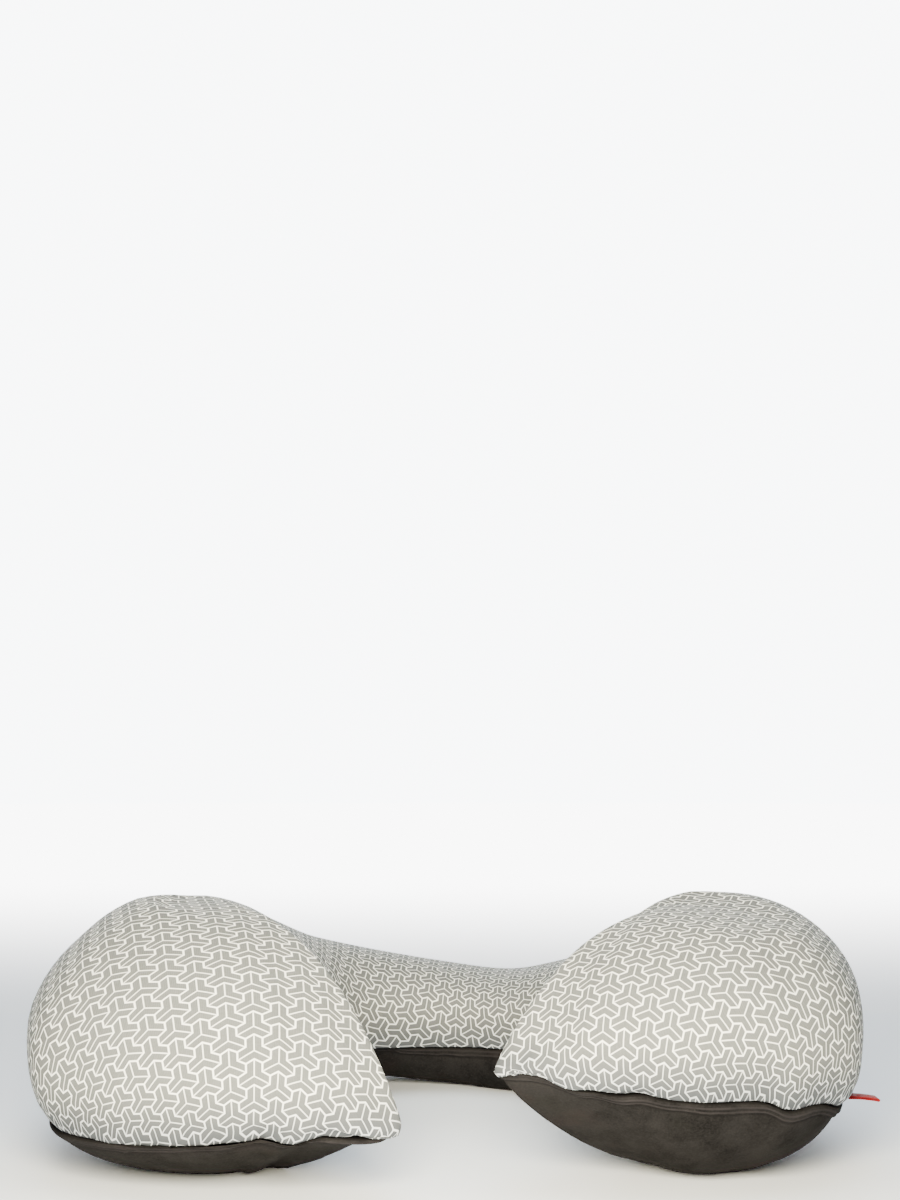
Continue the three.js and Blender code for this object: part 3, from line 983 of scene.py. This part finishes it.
def suede_cloth():
    """Dark brown napped cloth: mottled where the nap lies differently, with a short soft pile; painted
    highlights on the seam fold's crests and painted shade in its furrow and at the seam.
    """
    shader = Finish("suede_cloth")
    place = shader.in_space()
    broad = shader.noise(place, 22.0, 5.0, 0.6)
    middle = shader.noise(place, 90.0, 5.0, 0.65)
    fine = shader.noise(place, 1300.0, 3.0, 0.6)
    nap = shader.math("MULTIPLY_ADD", broad, 0.5, shader.math("MULTIPLY", middle, 0.5))
    colour = shader.mix(shader.span(nap, 0.38, 0.62), *SUEDE_NAP)
    colour = shader.mix(shader.span(fine, 0.3, 0.7, 0.0, 0.35), colour, SUEDE_FIBRE)
    olive = shader.noise(place, 48.0, 2.0)
    colour = shader.mix(shader.span(olive, 0.5, 0.75, 0.0, 0.4), colour, SUEDE_OLIVE)
    reddish = shader.noise(place, 33.0, 4.0, 0.65)
    colour = shader.mix(shader.span(reddish, 0.5, 0.72, 0.0, 0.45), colour, SUEDE_REDDISH)

    away = shader.from_seam()
    uneven = shader.math("MULTIPLY_ADD", shader.noise(place, 160.0, 2.0), 0.5 * MM, away)
    uneven = shader.math("SUBTRACT", uneven, 0.25 * MM)
    # Painted highlight: the fold's two crests are lighter, as where light catches them, broken up by noise
    wear_and_highlight = shader.math("ADD", shader.band(uneven, *FIRST_CREST_MM), shader.band(uneven, *SECOND_CREST_MM))
    wear_and_highlight = shader.math("MULTIPLY", wear_and_highlight, shader.span(shader.noise(place, 70.0, 3.0), 0.25, 0.7, 0.35, 0.9))
    colour = shader.mix(wear_and_highlight, colour, SUEDE_PAINTED_HIGHLIGHT)
    # Painted shade: darker along the seam line and in the fold's furrow
    furrow_shade = shader.span(uneven, 0.1 * MM, 0.5 * MM, 1.0, 0.0)
    furrow_shade = shader.math("ADD", furrow_shade, shader.band(uneven, *FURROW_MM))
    colour = shader.mix(shader.math("MULTIPLY", furrow_shade, 0.4), colour, SUEDE_PAINTED_SHADE)
    shader.set("Base Color", colour)
    shader.set("Roughness", 0.93)
    shader.set("Specular IOR Level", 0.02)
    shader.set("Sheen Weight", 0.01)
    shader.set("Sheen Roughness", 0.5)
    shader.set("Sheen Tint", (0.62, 0.55, 0.50, 1))
    normal = shader.bump(fine, 0.12 * MM, 0.6)
    normal = shader.bump(middle, 0.6 * MM, 0.5, normal)
    shader.set("Normal", normal)
    return shader.material


def red_ribbon():
    """Red woven ribbon with fine ribs across it and a lighter worn bloom."""
    shader = Finish("red_ribbon")
    across, along, _ = shader.flat_place()
    rib = shader.ridges(along, RIBBON_RIB)
    thread = shader.ridges(across, RIBBON_THREAD)
    weave = shader.math("MULTIPLY_ADD", thread, 0.35, shader.math("MULTIPLY", rib, 0.65))
    wear_and_highlight = shader.noise(shader.in_space(), 600.0, 3.0)
    colour = shader.mix(shader.span(weave, 0.1, 0.8), *RIBBON_WEAVE)
    colour = shader.mix(shader.span(wear_and_highlight, 0.45, 0.8, 0.0, 0.3), colour, RIBBON_WORN)
    shader.set("Base Color", colour)
    shader.set("Roughness", 0.75)
    shader.set("Specular IOR Level", 0.1)
    shader.set("Sheen Weight", 0.02)
    shader.set("Sheen Tint", (1.0, 0.75, 0.70, 1))
    shader.set("Normal", shader.bump(weave, 0.12 * MM, 0.7))
    return shader.material


# Floor, light and camera


def lit_floor(shader):
    """Share of the lit back wall at each place on the floor, which runs out into it."""
    place = shader.in_space()
    parts = shader.node("ShaderNodeSeparateXYZ")
    shader.tree.links.new(place, parts.inputs[0])
    return shader.span(parts.outputs["Y"], *WALL_FLOOR_FROM)


def lit_wall(shader):
    """Share of the lit back wall in each direction."""
    way = shader.node("ShaderNodeTexCoord").outputs["Generated"]
    parts = shader.node("ShaderNodeSeparateXYZ")
    shader.tree.links.new(way, parts.inputs[0])
    level = shader.math("SQRT", shader.math("SUBTRACT", 1.0, shader.math("POWER", parts.outputs["Z"], 2.0)))
    round_share = shader.span(shader.math("DIVIDE", parts.outputs["Y"], level), *WALL_SIDE)
    return shader.math("MULTIPLY", round_share, shader.span(parts.outputs["Z"], *WALL_TOP, 1.0, 0.0))


def studio():
    """A pale floor that runs out into a brightly lit back wall, in an evenly lit room."""
    bpy.ops.mesh.primitive_circle_add(
        vertices=96, radius=FLOOR_RADIUS, fill_type="NGON", location=(0, 0, -FLOOR_DROP)
    )
    floor = bpy.context.object
    floor.name = "floor"
    shader = Finish("pale_floor")
    shader.set("Base Color", FLOOR_COLOUR)
    shader.set("Roughness", 0.9)
    shader.set("Specular IOR Level", 0.1)
    glow = shader.node("ShaderNodeEmission", Color=(1, 1, 1, 1), Strength=WALL_GLOW)
    blend = shader.node("ShaderNodeMixShader")
    shader.tree.links.new(lit_floor(shader), blend.inputs[0])
    shader.tree.links.new(shader.surface.outputs[0], blend.inputs[1])
    shader.tree.links.new(glow.outputs[0], blend.inputs[2])
    shader.tree.links.new(blend.outputs[0], shader.output.inputs["Surface"])
    floor.data.materials.append(shader.material)

    world = bpy.data.worlds.new("studio")
    world.use_nodes = True
    room = Shader(world.node_tree)
    background = room.tree.nodes["Background"]
    level = room.math("MULTIPLY_ADD", lit_wall(room), WALL_GLOW - ROOM_GLOW, ROOM_GLOW)
    room.give(background, "Strength", level)
    room.give(background, "Color", ROOM_COLOUR)
    bpy.context.scene.world = world


def soft_light(name, place, size, power, colour):
    """A square soft light aimed at the middle of the pillow."""
    light = bpy.data.lights.new(name, "AREA")
    light.shape = "SQUARE"
    light.size = size
    light.energy = power
    light.color = colour
    lamp = bpy.data.objects.new(name, light)
    bpy.context.scene.collection.objects.link(lamp)
    lamp.location = place
    lamp.visible_camera = False
    lamp.rotation_euler = (Vector(LIGHT_AIM) - Vector(place)).to_track_quat("-Z", "Y").to_euler()


def lights():
    """A small warm light in front of the arms, and a broad cool one overhead."""
    soft_light("front_light", *FRONT_LIGHT)
    soft_light("top_light", *TOP_LIGHT)


def camera():
    """A camera where the photograph's stood, as far as the outline shows."""
    lens = bpy.data.cameras.new("camera")
    lens.lens = CAMERA_LENS_MM
    lens.sensor_width = CAMERA_SENSOR_MM
    lens.clip_start = 0.01
    lens.clip_end = 50
    eye = bpy.data.objects.new("camera", lens)
    bpy.context.scene.collection.objects.link(eye)
    eye.location = CAMERA_PLACE
    eye.rotation_euler = (math.radians(90) + CAMERA_TILT_UP, 0, 0)
    bpy.context.scene.camera = eye


# The pillow


def blown_up(skins):
    """How far the filling moves the points of each cover's shell."""
    shells = []
    for skin in skins.values():
        shell = split_columns(skin, SHELL_COLUMN_SPLIT)
        numbers = np.linspace(0, len(shell) - 1, SHELL_RINGS)
        shells.append(at_places(shell, np.repeat(numbers[:, None], shell.shape[1], axis=1)))
    seam = (shells[0][0] + shells[1][0]) / 2
    shells[0][0] = seam
    shells[1][0] = seam
    return dict(zip(skins, swell(*shells)))


def covers():
    """Both covers, from the solids' skins to the finished rings and their flat lay."""
    skins = {}
    for node, flat_side, ahead in (("top_cover", -1, True), ("base_cover", 1, False)):
        skins[node] = rings_from_seam(*skin_triangles(node, flat_side), ahead)
    swellings = blown_up(skins)
    made = {}
    for node, up, seam_rings, field in (
        ("top_cover", 1, TOP_SEAM_RINGS_MM, TOP_FIELD_RINGS),
        ("base_cover", -1, BASE_SEAM_RINGS_MM, BASE_FIELD_RINGS),
    ):
        flat = lay_flat(skins[node][:, ::up])[:, ::up]
        grid = split_columns(np.concatenate([skins[node], flat], axis=2), COLUMN_SPLIT)
        places = ring_places(grid, seam_rings, field)
        fine = at_places(grid, places)
        rings, flat = fine[..., :3], fine[..., 3:]
        if swellings[node] is not None:
            moved = split_columns(swellings[node], COLUMN_SPLIT // SHELL_COLUMN_SPLIT)
            share = places * (SHELL_RINGS - 1) / (len(skins[node]) - 1)
            rings = rings + smooth_through(with_ends(moved), 1 + share)
        rings, flat = settled(rings, flat)
        rings = filled_sides(rings)
        if node == "top_cover":
            finished = finish_top(rings)
        else:
            rings = lifted(rings)
            finished = finish_base(rings)
        finished[-1] = rings[-1]
        made[node] = finished, flat
    return made


def build():
    """Every piece with its material, what it stands for and what it rides on."""
    looks = {
        "top_cover": ("jersey_top", "printed_jersey", printed_jersey(), LID_LIFT),
        "base_cover": ("suede_base", "suede_cloth", suede_cloth(), -LID_LIFT),
    }
    for node, (rings, flat) in covers().items():
        name, slot, material, lift = looks[node]
        piece = cover_piece(name, rings, flat, lift)
        piece.data.materials.append(material)
        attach(piece, "root")
        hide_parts(node)
    tab = ribbon_tab()
    tab.data.materials.append(red_ribbon())
    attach(tab, "root")
    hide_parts("side_tab")


build()
studio()
lights()
camera()
